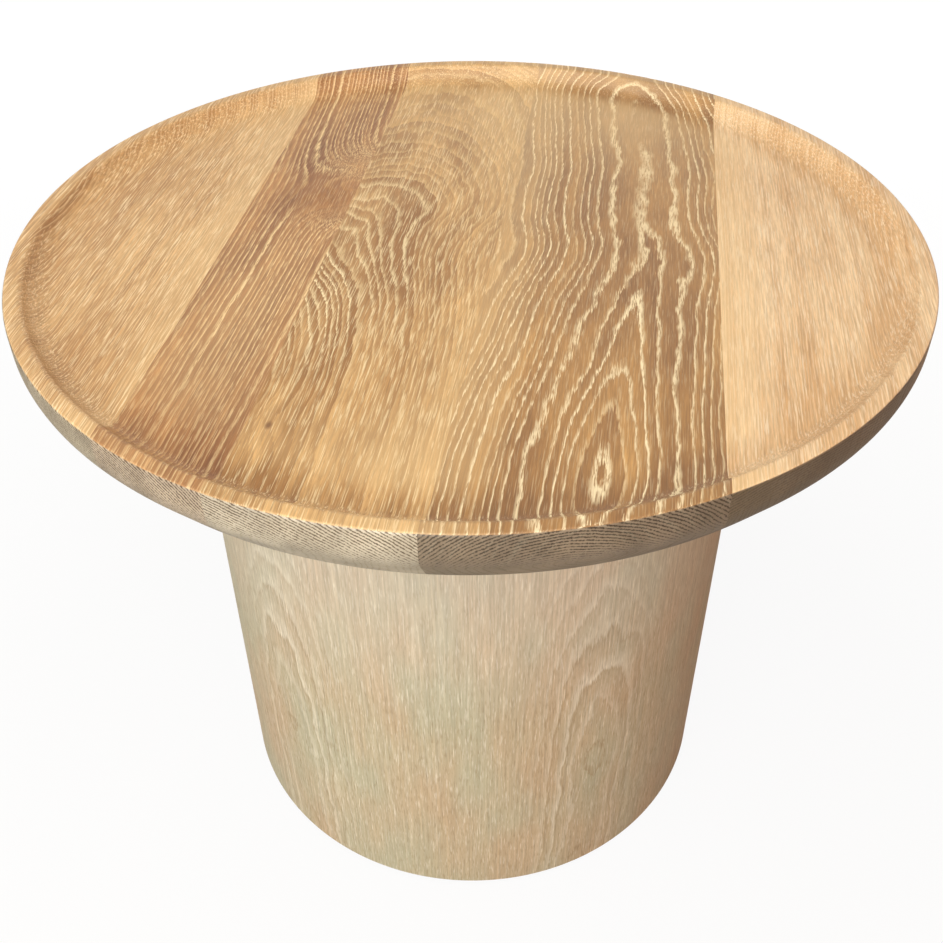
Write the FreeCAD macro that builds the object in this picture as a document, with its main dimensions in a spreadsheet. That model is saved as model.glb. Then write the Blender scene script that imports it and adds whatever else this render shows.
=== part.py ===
"""Round side table with a dished solid oak top on an oak-veneered drum.

The top is five edge-glued boards with loose splines in their joints, turned to a disc with a flat lip, a
coved tray and an undercut edge.  The drum is two half-round plywood shells on four uprights, which sit in
notches in a top plate and a base ring, and it is dressed with six leaves of veneer.  Screws in slotted holes
hold the top and let it move across its grain.  The table stands on felt pads.

Millimetres, +Z up, origin on the floor at the centre of the drum.  The grain of the top runs along Y.
"""
import FreeCAD, Part
import math
import os

import Sketcher

SIZES = {
    # Turned top
    "top_diameter": 600,
    "top_thickness": 45,
    "undercut_inset": 18,
    "undercut_height": 24,
    "lip_width": 11,
    "lip_outer_ease": 1.5,
    "lip_inner_ease": 2,
    "tray_depth": 12,
    "cove_radius": 18,
    # Inner boards, from the joint left of the centre; the two outer boards take what is left of the disc
    "joint_2_left_of_centre": 93,
    "board_2_width": 71,
    "board_3_width": 111,
    "board_4_width": 148,
    # Loose splines in the joints of the boards, in grooves that stop short of the edge
    "board_spline_thickness": 6,
    "board_spline_width": 20,
    "board_spline_cover": 8,
    "board_spline_end_margin": 40,
    # Drum
    "drum_diameter": 395,
    "drum_height": 435,
    "veneer_thickness": 0.6,
    "glue_line": 0.4,
    "shell_thickness": 12,
    "shell_spline_thickness": 4,
    "shell_spline_width": 16,
    "plate_thickness": 18,
    "ring_thickness": 18,
    "ring_width": 80,
    "upright_depth": 32,
    "upright_width": 45,
    "fit_clearance": 0.25,
    # Screws and washers that hold the top, in columns along the grain and rows across it
    "fixing_screw_diameter": 6,
    "fixing_screw_head": 10,
    "fixing_screw_head_height": 4,
    "fixing_screw_cover": 18,
    "fixing_rim_margin": 28,
    "fixing_column_share": 0.77,
    "fixing_column_count": 2,
    "fixing_row_count": 2,
    "fixing_slot_clearance": 1,
    "fixing_slot_travel": 8,
    "washer_width": 18,
    "washer_thickness": 1.5,
    # Felt pads under the ring
    "pad_width": 25,
    "pad_height": 4,
    "pad_rim_margin": 24,
    "pad_count": 8,
    # How far a blank or a cutter runs past what it cuts
    "overrun": 5,
}

LEAF_COUNT = 6
UPRIGHT_SIDES = ("right", "rear", "left", "front")
FULL_TURN = 360
HALF_TURN = 180
# Veneer leaves are counted from the joint that faces the front, -Y
FRONT_BEARING = -90

# Levels and radii that several pieces share, as expressions on the sheet
TOP_RADIUS = "(sizes.top_diameter / 2)"
UNDERSIDE_RADIUS = f"({TOP_RADIUS} - sizes.undercut_inset)"
DRUM_FOOT = "sizes.pad_height"
DRUM_TOP = f"({DRUM_FOOT} + sizes.drum_height)"
TABLE_TOP = f"({DRUM_TOP} + sizes.top_thickness)"
TRAY_FLOOR = f"({TABLE_TOP} - sizes.tray_depth)"
LIP_RADIUS = f"({TOP_RADIUS} - sizes.lip_width)"
COVE_RUN = "sqrt(sizes.tray_depth * (2 * sizes.cove_radius - sizes.tray_depth))"
FLOOR_RADIUS = f"({LIP_RADIUS} - {COVE_RUN})"
DRUM_RADIUS = "(sizes.drum_diameter / 2)"
LEAF_INNER = f"({DRUM_RADIUS} - sizes.veneer_thickness)"
SHELL_OUTER = f"({LEAF_INNER} - sizes.glue_line)"
SHELL_INNER = f"({SHELL_OUTER} - sizes.shell_thickness)"
SHELL_MIDDLE = f"({SHELL_OUTER} - sizes.shell_thickness / 2)"
PLATE_RADIUS = f"({SHELL_INNER} - sizes.fit_clearance)"
PLATE_FOOT = f"({DRUM_TOP} - sizes.plate_thickness)"
UPRIGHT_INNER = f"({PLATE_RADIUS} - sizes.upright_depth)"
RING_HOLE_RADIUS = f"({PLATE_RADIUS} - sizes.ring_width)"
PAD_CIRCLE = f"({PLATE_RADIUS} - sizes.pad_rim_margin)"
# The fixing screws lie on a circle inside the plate's rim, at the ends of the columns and rows
FIXING_CIRCLE = f"({PLATE_RADIUS} - sizes.fixing_rim_margin)"
FIXING_COLUMN_REACH = f"({FIXING_CIRCLE} * sizes.fixing_column_share)"
FIXING_ROW_REACH = f"sqrt({FIXING_CIRCLE} ^ 2 - {FIXING_COLUMN_REACH} ^ 2)"
WASHER_FOOT = f"({PLATE_FOOT} - sizes.washer_thickness)"

# A sketch counts its own axes down from its horizontal one, whose start is its origin
HORIZONTAL_AXIS, VERTICAL_AXIS = range(-1, -3, -1)
SKETCH_ORIGIN = HORIZONTAL_AXIS
# Which point of a line or arc a constraint takes
START, END, CENTRE = range(1, 4)
Z = FreeCAD.Vector(0, 0, 1)

doc = FreeCAD.newDocument("round_side_table")
sheet = doc.addObject("Spreadsheet::Sheet", "sizes")
for row, (alias, number) in enumerate(SIZES.items(), start=1):
    sheet.set(f"A{row}", alias)
    sheet.set(f"B{row}", str(number))
    sheet.setAlias(f"B{row}", alias)
doc.recompute()


def amount(expression):
    """Present value of an expression on the sheet."""
    return float(sheet.evalExpression(expression))


def spot(x, y):
    """Point in a sketch from two expressions."""
    return FreeCAD.Vector(amount(x), amount(y), 0)


def bind(thing, **expressions):
    """Bind properties of an object to expressions on the sheet."""
    for name, expression in expressions.items():
        thing.setExpression(name, expression)
    return thing


def place(thing, x="0", y="0", z="0", turn="0"):
    """Bind an object's place, and its turn about Z in degrees."""
    thing.Placement = FreeCAD.Placement(FreeCAD.Vector(), FreeCAD.Rotation(Z, 0))
    for axis, expression in zip("xyz", (x, y, z)):
        thing.setExpression(f"Placement.Base.{axis}", expression)
    thing.setExpression("Placement.Rotation.Angle", turn)
    return thing


def new_body(label):
    """Empty body with its label."""
    body = doc.addObject("PartDesign::Body", label)
    body.Label = label
    return body


def origin_part(body, role):
    """Plane or axis of a body's origin."""
    return next(part for part in body.Origin.OriginFeatures if part.Role == role)


def new_sketch(body, name, role, lift="0"):
    """Sketch on one of the body's origin planes, lifted along the plane's normal."""
    sketch = body.newObject("Sketcher::SketchObject", f"{body.Name}_{name}")
    sketch.AttachmentSupport = [(origin_part(body, role), "")]
    sketch.MapMode = "FlatFace"
    sketch.setExpression("AttachmentOffset.Base.z", lift)
    return sketch


def measure(sketch, kind, first, last, expression):
    """Dimension between two sketch points, bound to an expression."""
    constraint = Sketcher.Constraint(kind, *first, *last, amount(expression))
    sketch.setExpression(f"Constraints[{sketch.addConstraint(constraint)}]", expression)


def pin(sketch, side, end, x=None, y=None):
    """Hold a point of a sketch at x, y or one of them, measured from the sketch's origin."""
    origin = (SKETCH_ORIGIN, START)
    for kind, axis, expression in (("DistanceX", VERTICAL_AXIS, x), ("DistanceY", HORIZONTAL_AXIS, y)):
        if expression is None:
            continue
        value = amount(expression)
        if value == 0:
            sketch.addConstraint(Sketcher.Constraint("PointOnObject", side, end, axis))
        elif value > 0:
            measure(sketch, kind, origin, (side, end), expression)
        else:
            measure(sketch, kind, (side, end), origin, f"-({expression})")


def outline(sketch, corners, arcs=None):
    """Closed outline through corners given as pairs of expressions.

    arcs maps the number of a corner to the centre of the arc that leaves it for the next corner.
    """
    arcs = arcs or {}
    sides = []
    for number, corner in enumerate(corners):
        here = spot(*corner)
        there = spot(*corners[(number + 1) % len(corners)])
        if number not in arcs:
            sides.append((sketch.addGeometry(Part.LineSegment(here, there)), START, END))
            continue
        centre_x, centre_y = arcs[number]
        centre = spot(centre_x, centre_y)
        left_turn = (here - centre).cross(there - centre).z >= 0
        first, last = (here, there) if left_turn else (there, here)
        angles = [math.atan2(point.y - centre.y, point.x - centre.x) for point in (first, last)]
        side = sketch.addGeometry(Part.ArcOfCircle(Part.Circle(centre, Z, (here - centre).Length), *angles))
        sides.append((side, START, END) if left_turn else (side, END, START))
        chord = there - here
        if abs(chord.y) > abs(chord.x):
            pin(sketch, side, CENTRE, x=centre_x)
        else:
            pin(sketch, side, CENTRE, y=centre_y)
    for number, (side, start, end) in enumerate(sides):
        after, after_start, _ = sides[(number + 1) % len(sides)]
        sketch.addConstraint(Sketcher.Constraint("Coincident", side, end, after, after_start))
        pin(sketch, side, start, *corners[number])
    return sketch


def circle(sketch, diameter, x="0", y="0"):
    """Circle of a given diameter at x, y."""
    side = sketch.addGeometry(Part.Circle(spot(x, y), Z, amount(diameter) / 2))
    index = sketch.addConstraint(Sketcher.Constraint("Diameter", side, amount(diameter)))
    sketch.setExpression(f"Constraints[{index}]", diameter)
    if amount(x) == 0 and amount(y) == 0:
        sketch.addConstraint(Sketcher.Constraint("Coincident", side, CENTRE, SKETCH_ORIGIN, START))
    else:
        pin(sketch, side, CENTRE, x, y)
    return sketch


def slot(sketch, length, width):
    """Round-ended slot along the sketch's X axis, centred on the sketch's origin."""
    reach = f"(({length}) - ({width})) / 2"
    half = f"({width}) / 2"
    corners = [(f"-({reach})", f"-({half})"), (reach, f"-({half})"), (reach, half), (f"-({reach})", half)]
    arcs = {1: (reach, "0"), 3: (f"-({reach})", "0")}
    return outline(sketch, corners, arcs)


def feature(body, kind, name, profile=None, **expressions):
    """Add a feature to a body, bind its sizes and make it the tip."""
    step = body.newObject(f"PartDesign::{kind}", f"{body.Name}_{name}")
    if profile is not None:
        step.Profile = profile
    bind(step, **expressions)
    body.Tip = step
    return step


def revolve(body, sketch):
    """Turn a profile once round the sketch's vertical axis."""
    step = feature(body, "Revolution", "turned", sketch)
    step.ReferenceAxis = (sketch, ["V_Axis"])
    step.Angle = FULL_TURN
    return step


def ring_of(body, original, name, count):
    """Repeat a feature evenly round the body's Z axis."""
    step = feature(body, "PolarPattern", name, Occurrences=count)
    step.Originals = [original]
    step.Axis = (origin_part(body, "Z_Axis"), [""])
    step.Angle = FULL_TURN
    return step


def solid(kind, name, **expressions):
    """Part primitive with its sizes bound."""
    return bind(doc.addObject(f"Part::{kind}", name), **expressions)


def combine(kind, label, base, tool):
    """Boolean of two objects."""
    result = doc.addObject(f"Part::{kind}", label)
    result.Label = label
    result.Base = base
    result.Tool = tool
    return result


def gather(name, pieces):
    """Compound of several objects, to serve as one cutter."""
    bundle = doc.addObject("Part::Compound", name)
    bundle.Links = pieces
    return bundle


def turned_top():
    """Whole top as it leaves the lathe: flat lip with eased edges, coved tray, upright edge and undercut."""
    cove_centre = f"({TRAY_FLOOR} + sizes.cove_radius)"
    cove_end = f"({TABLE_TOP} - sizes.lip_inner_ease)"
    cove_end_run = f"sqrt(sizes.cove_radius ^ 2 - ({cove_centre} - {cove_end}) ^ 2)"
    corners = [
        ("0", DRUM_TOP),
        (UNDERSIDE_RADIUS, DRUM_TOP),
        (TOP_RADIUS, f"{DRUM_TOP} + sizes.undercut_height"),
        (TOP_RADIUS, f"{TABLE_TOP} - sizes.lip_outer_ease"),
        (f"{TOP_RADIUS} - sizes.lip_outer_ease", TABLE_TOP),
        (f"{LIP_RADIUS} + sizes.lip_inner_ease", TABLE_TOP),
        (f"{FLOOR_RADIUS} + {cove_end_run}", cove_end),
        (FLOOR_RADIUS, TRAY_FLOOR),
        ("0", TRAY_FLOOR),
    ]
    body = new_body("turned_top")
    profile = new_sketch(body, "profile", "XZ_Plane")
    revolve(body, outline(profile, corners, {6: (FLOOR_RADIUS, cove_centre)}))
    return body


def joint_offsets():
    """X of the four glue joints of the top, from left to right."""
    second = "(-sizes.joint_2_left_of_centre)"
    first = f"({second} - sizes.board_2_width)"
    third = f"({second} + sizes.board_3_width)"
    fourth = f"({third} + sizes.board_4_width)"
    return [first, second, third, fourth]


def board_spline(label, offset, slack):
    """Loose spline across one glue joint, or its stopped groove when there is slack round it."""
    reach = f"(sqrt({UNDERSIDE_RADIUS} ^ 2 - {offset} ^ 2) - sizes.board_spline_end_margin + {slack})"
    width = f"(sizes.board_spline_width + 2 * {slack})"
    thickness = f"(sizes.board_spline_thickness + 2 * {slack})"
    upper = f"({TRAY_FLOOR} - sizes.board_spline_cover + {slack})"
    strip = solid("Box", label, Length=width, Width=f"2 * {reach}", Height=thickness)
    return place(strip, x=f"{offset} - {width} / 2", y=f"-{reach}", z=f"{upper} - {thickness}")


def fixing_body(label, level):
    """Body whose origin is the first place of the grid of screws that hold the top."""
    return place(new_body(label), x=f"-{FIXING_COLUMN_REACH}", y=f"-{FIXING_ROW_REACH}", z=level)


def fixing_grid(body, *originals):
    """Repeat features over the columns and rows of the screws that hold the top."""
    step = feature(body, "LinearPattern", "grid")
    step.Originals = originals
    step.Direction = (origin_part(body, "X_Axis"), [""])
    step.Direction2 = (origin_part(body, "Y_Axis"), [""])
    bind(step, Occurrences="sizes.fixing_column_count", Length=f"2 * {FIXING_COLUMN_REACH}")
    bind(step, Occurrences2="sizes.fixing_row_count", Length2=f"2 * {FIXING_ROW_REACH}")
    return body


def fixing_screws(label, slack):
    """Hexagon-headed screws that hold the top, or the holes for them when there is slack round the shank."""
    flat = "(sizes.fixing_screw_head / 2)"
    corner = "(sizes.fixing_screw_head / sqrt(3))"
    upper = [(corner, "0"), (f"{corner} / 2", flat), (f"-{corner} / 2", flat)]
    lower = [(f"-{corner}", "0"), (f"-{corner} / 2", f"-{flat}"), (f"{corner} / 2", f"-{flat}")]
    body = fixing_body(label, WASHER_FOOT)
    hexagon = outline(new_sketch(body, "hexagon", "XY_Plane"), upper + lower)
    head = feature(body, "Pad", "head", hexagon, Length="sizes.fixing_screw_head_height")
    head.Reversed = True
    section = circle(new_sketch(body, "section", "XY_Plane"), f"sizes.fixing_screw_diameter + 2 * {slack}")
    length = f"{TRAY_FLOOR} - sizes.fixing_screw_cover - {WASHER_FOOT} + {slack}"
    return fixing_grid(body, head, feature(body, "Pad", "shank", section, Length=length))


def fixing_washers():
    """Square plate washers between the screw heads and the underside of the plate."""
    half = "(sizes.washer_width / 2)"
    body = fixing_body("top_fixing_washers", WASHER_FOOT)
    profile = new_sketch(body, "section", "XY_Plane")
    outline(profile, [(f"-{half}", f"-{half}"), (half, f"-{half}"), (half, half), (f"-{half}", half)])
    circle(profile, "sizes.fixing_screw_diameter + 2 * sizes.fit_clearance")
    return fixing_grid(body, feature(body, "Pad", "washer", profile, Length="sizes.washer_thickness"))


def fixing_slots():
    """Cutter for the slots in the plate, which run across the grain of the top."""
    body = fixing_body("fixing_slots", f"{PLATE_FOOT} - sizes.overrun")
    width = "(sizes.fixing_screw_diameter + sizes.fixing_slot_clearance)"
    profile = slot(new_sketch(body, "slot", "XY_Plane"), f"{width} + sizes.fixing_slot_travel", width)
    depth = "sizes.plate_thickness + 2 * sizes.overrun"
    return fixing_grid(body, feature(body, "Pad", "slot", profile, Length=depth))


def notches():
    """Cutter for the four notches that plate and ring have for the uprights."""
    body = new_body("notches")
    half = "(sizes.upright_width / 2 + sizes.fit_clearance)"
    inner = f"{UPRIGHT_INNER} - sizes.fit_clearance"
    outer = f"{PLATE_RADIUS} + sizes.overrun"
    profile = new_sketch(body, "notch", "XY_Plane")
    outline(profile, [(inner, f"-{half}"), (outer, f"-{half}"), (outer, half), (inner, half)])
    notch = feature(body, "Pad", "notch", profile, Length="sizes.drum_height + 2 * sizes.overrun")
    ring_of(body, notch, "ring", str(len(UPRIGHT_SIDES)))
    return place(body, z=f"{DRUM_FOOT} - sizes.overrun")


def top_plate(cutters):
    """Plywood disc at the head of the drum, notched for the uprights and slotted for the top's screws."""
    body = new_body("plate_sheet")
    disc = circle(new_sketch(body, "disc", "XY_Plane"), f"2 * {PLATE_RADIUS}")
    feature(body, "Pad", "sheet", disc, Length="sizes.plate_thickness")
    place(body, z=PLATE_FOOT)
    return combine("Cut", "top_plate", body, cutters)


def base_ring(cutter):
    """Plywood ring at the foot of the drum, open in the middle to reach the screws of the top."""
    body = new_body("ring_sheet")
    profile = new_sketch(body, "ring", "XY_Plane")
    circle(profile, f"2 * {PLATE_RADIUS}")
    circle(profile, f"2 * {RING_HOLE_RADIUS}")
    feature(body, "Pad", "sheet", profile, Length="sizes.ring_thickness")
    place(body, z=DRUM_FOOT)
    return combine("Cut", "base_ring", body, cutter)


def uprights():
    """Four posts the height of the drum, their outer faces rounded to the inside of the shells."""
    half = "(sizes.upright_width / 2)"
    shoulder = f"sqrt({PLATE_RADIUS} ^ 2 - {half} ^ 2)"
    corners = [(UPRIGHT_INNER, f"-{half}"), (shoulder, f"-{half}"), (shoulder, half), (UPRIGHT_INNER, half)]
    posts = []
    for number, side in enumerate(UPRIGHT_SIDES):
        body = new_body(f"upright_{side}")
        section = outline(new_sketch(body, "section", "XY_Plane"), corners, {1: ("0", "0")})
        feature(body, "Pad", "post", section, Length="sizes.drum_height")
        posts.append(place(body, z=DRUM_FOOT, turn=str(number * FULL_TURN / len(UPRIGHT_SIDES))))
    return posts


def felt_pads():
    """Square felt pads stuck under the ring, clear of the notches."""
    half = "(sizes.pad_width / 2)"
    inner = f"{PAD_CIRCLE} - {half}"
    outer = f"{PAD_CIRCLE} + {half}"
    body = new_body("felt_pads")
    profile = new_sketch(body, "square", "XY_Plane")
    outline(profile, [(inner, f"-{half}"), (outer, f"-{half}"), (outer, half), (inner, half)])
    ring_of(body, feature(body, "Pad", "pad", profile, Length="sizes.pad_height"), "ring", "sizes.pad_count")
    return place(body, turn=f"{HALF_TURN} / sizes.pad_count")


def drum_bore(name, radius):
    """Cutter that hollows the drum to a radius."""
    bore = solid("Cylinder", name, Radius=radius, Height="sizes.drum_height + 2 * sizes.overrun")
    return place(bore, z=f"{DRUM_FOOT} - sizes.overrun")


def drum_sector(name, radius, angle, bearing, bore):
    """Piece of the drum's wall that spans an angle from a bearing."""
    wedge = solid("Cylinder", f"{name}_wedge", Radius=radius, Height="sizes.drum_height", Angle=str(angle))
    place(wedge, z=DRUM_FOOT, turn=str(bearing))
    return combine("Cut", name, wedge, bore)


def shell_splines(label, slack):
    """Splines in the two seams of the shells, or their grooves when there is slack round them."""
    thickness = f"(sizes.shell_spline_thickness + 2 * {slack})"
    width = f"(sizes.shell_spline_width + 2 * {slack})"
    strips = []
    for side, middle in (("right", SHELL_MIDDLE), ("left", f"-{SHELL_MIDDLE}")):
        strip = solid("Box", f"{label}_{side}", Length=thickness, Width=width, Height="sizes.drum_height")
        strips.append(place(strip, x=f"{middle} - {thickness} / 2", y=f"-{width} / 2", z=DRUM_FOOT))
    return gather(label, strips)


def shells():
    """Half-round plywood shells that meet on the X axis."""
    bore = drum_bore("shell_bore", SHELL_INNER)
    grooves = shell_splines("shell_grooves", "sizes.fit_clearance")
    halves = []
    for side, bearing in (("rear", 0), ("front", HALF_TURN)):
        half = drum_sector(f"{side}_half", SHELL_OUTER, HALF_TURN, bearing, bore)
        halves.append(combine("Cut", f"{side}_shell", half, grooves))
    return halves


def veneer_leaves():
    """Leaves of veneer round the drum, counted from the joint at the front."""
    bore = drum_bore("veneer_bore", LEAF_INNER)
    span = FULL_TURN / LEAF_COUNT
    return [
        drum_sector(f"veneer_leaf_{number + 1}", DRUM_RADIUS, span, FRONT_BEARING + number * span, bore)
        for number in range(LEAF_COUNT)
    ]


def boards(offsets, cutters):
    """Boards of the top, sawn from the turned disc at its glue joints."""
    machined = combine("Cut", "machined_top", turned_top(), cutters)
    limits = [f"(-{TOP_RADIUS} - sizes.overrun)", *offsets, f"({TOP_RADIUS} + sizes.overrun)"]
    pieces = []
    for number, (left, right) in enumerate(zip(limits, limits[1:]), start=1):
        blank = solid(
            "Box",
            f"blank_{number}",
            Length=f"{right} - {left}",
            Width="sizes.top_diameter + 2 * sizes.overrun",
            Height="sizes.top_thickness + 2 * sizes.overrun",
        )
        place(blank, x=left, y=f"-{TOP_RADIUS} - sizes.overrun", z=f"{DRUM_TOP} - sizes.overrun")
        pieces.append(combine("Common", f"top_board_{number}", machined, blank))
    return pieces


def build():
    """Every piece of the table, in the order it goes together."""
    offsets = joint_offsets()
    numbered = list(enumerate(offsets, start=1))
    slack = "sizes.fit_clearance"
    grooves = [board_spline(f"joint_{number}_groove", offset, slack) for number, offset in numbered]
    pilots = fixing_screws("fixing_pilots", slack)
    housings = notches()
    return [
        *uprights(),
        base_ring(housings),
        top_plate(gather("plate_cutters", [housings, fixing_slots()])),
        *shells(),
        shell_splines("shell_splines", "0"),
        *veneer_leaves(),
        *boards(offsets, gather("top_cutters", [*grooves, pilots])),
        *[board_spline(f"joint_{number}_spline", offset, "0") for number, offset in numbered],
        fixing_screws("top_fixing_screws", "0"),
        fixing_washers(),
        felt_pads(),
    ]


def write(pieces):
    """Check the whole document, then write one file for each piece."""
    doc.recompute()
    for thing in doc.Objects:
        if "Invalid" in thing.State or "Error" in thing.State:
            raise RuntimeError(f"{thing.Label} failed: {thing.State}")
    for piece in pieces:
        if piece.Shape.isNull() or not piece.Shape.isValid():
            raise RuntimeError(f"{piece.Label} has no valid shape")
    os.makedirs("parts", exist_ok=True)
    for piece in pieces:
        piece.Shape.exportStep(f"parts/{piece.Label}.step")
        print(f"{piece.Label}: {len(piece.Shape.Solids)} solids, {piece.Shape.Volume:.1f} mm3")


write(build())
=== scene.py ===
"""Looks of a round side table: a dished top of five limed oak boards on a drum dressed with oak veneer.

Metres, +Z up, origin on the floor at the centre of the drum.  The grain of the top runs along Y.
"""
import math
from functools import partial

import bpy
import numpy as np
from mathutils import Matrix, Vector


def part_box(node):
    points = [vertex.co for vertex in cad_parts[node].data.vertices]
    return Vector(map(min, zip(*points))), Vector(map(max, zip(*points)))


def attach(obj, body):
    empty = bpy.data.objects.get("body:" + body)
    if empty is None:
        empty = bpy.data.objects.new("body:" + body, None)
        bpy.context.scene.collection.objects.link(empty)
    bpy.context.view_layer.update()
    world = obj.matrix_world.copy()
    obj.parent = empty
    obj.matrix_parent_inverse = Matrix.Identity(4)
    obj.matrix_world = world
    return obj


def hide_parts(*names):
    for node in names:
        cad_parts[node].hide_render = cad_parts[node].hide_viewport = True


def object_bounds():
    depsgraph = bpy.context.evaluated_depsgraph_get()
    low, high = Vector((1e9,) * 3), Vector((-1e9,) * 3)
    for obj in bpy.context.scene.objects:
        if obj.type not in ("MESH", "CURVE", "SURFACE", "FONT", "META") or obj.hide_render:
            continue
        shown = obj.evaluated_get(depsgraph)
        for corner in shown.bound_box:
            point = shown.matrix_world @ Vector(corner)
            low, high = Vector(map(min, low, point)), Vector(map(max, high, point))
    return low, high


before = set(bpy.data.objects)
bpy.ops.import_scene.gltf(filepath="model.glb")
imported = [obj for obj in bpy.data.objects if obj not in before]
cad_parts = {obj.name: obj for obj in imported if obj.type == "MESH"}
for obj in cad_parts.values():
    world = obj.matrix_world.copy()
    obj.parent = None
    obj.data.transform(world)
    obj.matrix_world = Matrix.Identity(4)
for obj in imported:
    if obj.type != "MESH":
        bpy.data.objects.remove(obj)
CAD_BOX = [list(corner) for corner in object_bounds()]

bl_info = {
    "name": "Round Side Table",
    "version": (1, 0, 0),
    "blender": (4, 5, 0),
    "location": "3D View > Sidebar > Side Table",
    "description": "Dished oak top on a veneered drum, with its fixings and a studio to show it in",
    "category": "Add Mesh",
}

MM = 0.001
BODY = "root"
BOARD_NODES = [f"top_board_{number}" for number in range(1, 6)]
LEAF_NODES = [f"veneer_leaf_{number}" for number in range(1, 7)]
TABLE_TOP = CAD_BOX[1][2]
DRUM_FOOT, DRUM_TOP = (corner.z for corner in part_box(LEAF_NODES[0]))
WASHER_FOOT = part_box("top_fixing_washers")[0].z
# A hexagon's width over its corners, as a share of that over its flats
HEX_CORNER = 2 / math.sqrt(3)
# Points closer than this are one point; faces that meet at more than this angle keep a sharp edge
WELD = 0.01 * MM
SHARP_ANGLE = math.radians(28)
# Finest step along a profile, and how finely its round parts and its turning are divided
TOP_STEP, LEAF_STEP = 4 * MM, 6 * MM
COVE_PARTS, BELLY_PARTS, EASE_POINTS = 10, 8, 5
TOP_SEGMENTS, LEAF_SEGMENTS = 360, 41
# The outer boards are sawn with this much to spare beyond the rim
SAW_MARGIN = 5 * MM
# Width of the outer band of the top that holds the edge and its undercut, in millimetres
EDGE_BAND = 20
# Width of a growth ring on the cut ends, in millimetres
END_RING = 1.9
# The veneer's flames stand this far to one side of a leaf's middle, in millimetres
FLAME_OFFSET = 13
# Where the pith of the timber inside the table lies
PITH = (0.06, 0.035, 0.0)

# Node types that come up again and again, some of them with the one setting that they have here
RANGE, MAPPING, XYZ = "ShaderNodeMapRange", "ShaderNodeMapping", "ShaderNodeCombineXYZ"
MOVE, JOIN, SWEEP = "GeometryNodeTransform", "GeometryNodeJoinGeometry", "GeometryNodeCurveToMesh"
CIRCLE, CYLINDER = "GeometryNodeCurvePrimitiveCircle", "GeometryNodeMeshCylinder"
FILLET = ("GeometryNodeFilletCurve", {"mode": "POLY"})
MIX = ("ShaderNodeMix", {"data_type": "RGBA"})
TIMES, TIMES_PLUS, PLUS, MINUS, MAXIMUM, ABSOLUTE, FRACT, FLOOR, PINGPONG, SINE, ARCTAN = (
    ("ShaderNodeMath", {"operation": name}) for name in (
        "MULTIPLY", "MULTIPLY_ADD", "ADD", "SUBTRACT", "MAXIMUM", "ABSOLUTE", "FRACT", "FLOOR", "PINGPONG",
        "SINE", "ARCTAN2"))
SCALE, STRETCH, DISTANCE, REACH = (
    ("ShaderNodeVectorMath", {"operation": name}) for name in ("SCALE", "MULTIPLY", "DISTANCE", "LENGTH"))
ANGLE, POWER = {"subtype": "ANGLE"}, {"subtype": "POWER"}


def setting(name, description, default, **kind):
    """A number that a user would change."""
    return bpy.props.FloatProperty(name=name, description=description, default=default, **kind)


def length(name, description, size):
    """A length that a user would change, in millimetres."""
    return setting(name, description, size * MM, unit="LENGTH")


class TopSettings(bpy.types.PropertyGroup):
    """Sizes of the turned top."""

    radius: setting("Radius", "Radius of the rim", min(CAD_BOX[1][:2]), unit="LENGTH")
    lip_width: length("Lip Width", "Flat lip and its eased edges", 11)
    outer_ease: length("Outer Ease", "Rounding of the lip's outer edge", 1.6)
    inner_ease: length("Inner Ease", "Rounding where the lip meets the cove", 5)
    tray_depth: length("Tray Depth", "Drop from the lip to the tray", 12)
    cove_radius: length("Cove Radius", "Hollow between tray and lip", 18)
    undercut_inset: length("Undercut Inset", "How far the underside is drawn in", 18)
    undercut_height: length("Undercut Height", "Height of the slanted part of the edge", 24)
    belly_radius: length("Belly Radius", "Rounding between edge and undercut", 24)
    arris_ease: length("Arris Ease", "Rounding of the lowest edge", 1.2)
    ring_wander: setting("Ring Wander", "How far growth rings stray, in rings", 0.5, min=0)


class DrumSettings(bpy.types.PropertyGroup):
    """Sizes of the veneered drum."""

    radius: length("Radius", "Radius over the veneer", 197.5)
    veneer: length("Veneer", "Thickness of the veneer", 0.6)


class FixingSettings(bpy.types.PropertyGroup):
    """Sizes of the screws, washers and felt pads."""

    head_width: length("Head Width", "Screw head across its flats", 10)
    head_height: length("Head Height", "Height of the screw head", 4)
    shank: length("Shank", "Outside diameter of the screw thread", 6)
    pitch: length("Pitch", "Rise of the screw thread in one turn", 2.6)
    washer_width: length("Washer Width", "Side of the square washers", 18)
    hole_play: length("Hole Play", "Gap between a screw and its washer", 0.25)
    pad_width: length("Pad Width", "Side of the square felt pads", 25)
    pad_count: bpy.props.IntProperty(
        name="Pad Count", description="Felt pads under the drum", default=8, min=3)


class StageSettings(bpy.types.PropertyGroup):
    """Camera and light."""

    bearing: setting("Bearing", "Camera's bearing from the front", math.radians(8.4), **ANGLE)
    elevation: setting("Elevation", "Camera's height over the horizon", math.radians(40.2), **ANGLE)
    roll: setting("Roll", "Turn of the picture", math.radians(-0.35), **ANGLE)
    distance: length("Distance", "Camera to the point it looks at", 908.6)
    aim_height: length("Aim Height", "Height of that point on the axis", 269.8)
    lens: setting("Lens", "Focal length in millimetres on a 36 mm sensor", 43.91)
    key_power: setting("Key Power", "Large lamp at the front left", 30, **POWER)
    fill_power: setting("Fill Power", "Soft lamp overhead", 45, **POWER)
    warm_power: setting("Warm Power", "Weak warm lamp at the right", 6.5, **POWER)
    back_power: setting("Back Power", "Low lamp behind the drum", 12, **POWER)
    surround: setting("Surround", "Even light from all round", 0.07, min=0)


def linear(code):
    """Linear colour with alpha from an sRGB hex code."""
    parts = [int(code[at:at + 2], 16) / 255 for at in (0, 2, 4)]
    return (*[part / 12.92 if part <= 0.04045 else ((part + 0.055) / 1.055) ** 2.4 for part in parts], 1.0)


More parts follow.
